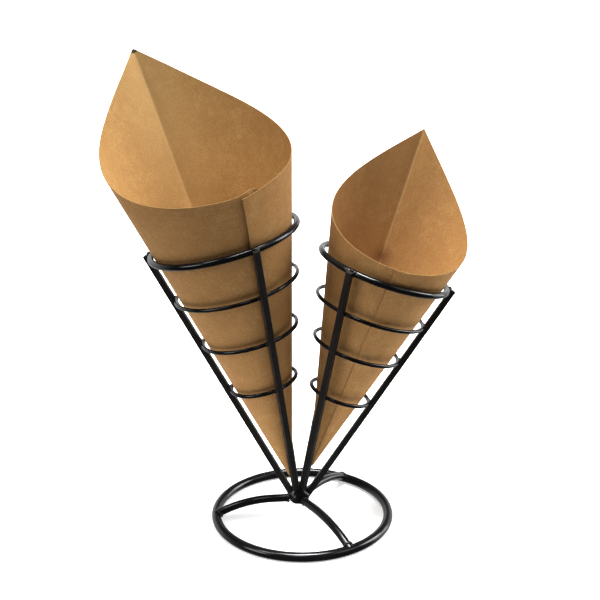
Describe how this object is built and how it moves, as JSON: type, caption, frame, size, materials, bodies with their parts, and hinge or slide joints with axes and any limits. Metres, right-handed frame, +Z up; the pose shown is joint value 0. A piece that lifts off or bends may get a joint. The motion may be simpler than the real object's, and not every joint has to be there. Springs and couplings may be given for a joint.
{
  "type": "paper cone holder",
  "caption": "Black wire table stand: round base, arched legs and leaning cone cages of square bars and rings, each holding a rolled kraft paper cone for fries or snacks.",
  "frame": {"origin": "centre of the base ring, on the table", "axes": "+Z up; -Y is the front, where the seams of the cones are; -X towards the larger cone and +X towards the smaller one"},
  "size_m": [0.239, 0.1363, 0.3164],
  "materials": {
    "black_wire": "gloss black coating on round steel wire",
    "black_bar": "satin black coating on square steel bar",
    "black_weld": "black coating over a lumpy weld",
    "kraft_paper": "matt brown kraft with fine fibres"
  },
  "bodies": {
    "root": {"base_ring": "black_wire", "hub": "black_weld", "leg_left": "black_wire", "leg_front": "black_wire", "leg_back": "black_wire", "left_bar_outer": "black_bar", "left_bar_front": "black_bar", "left_bar_back": "black_bar", "right_bar_outer": "black_bar", "right_bar_front": "black_bar", "right_bar_back": "black_bar", "left_ring_1": "black_wire", "left_ring_2": "black_wire", "left_ring_3": "black_wire", "left_ring_4": "black_wire", "right_ring_1": "black_wire", "right_ring_2": "black_wire", "right_ring_3": "black_wire", "right_ring_4": "black_wire", "left_paper_cone": "kraft_paper", "right_paper_cone": "kraft_paper"}
  },
  "joints": []
}
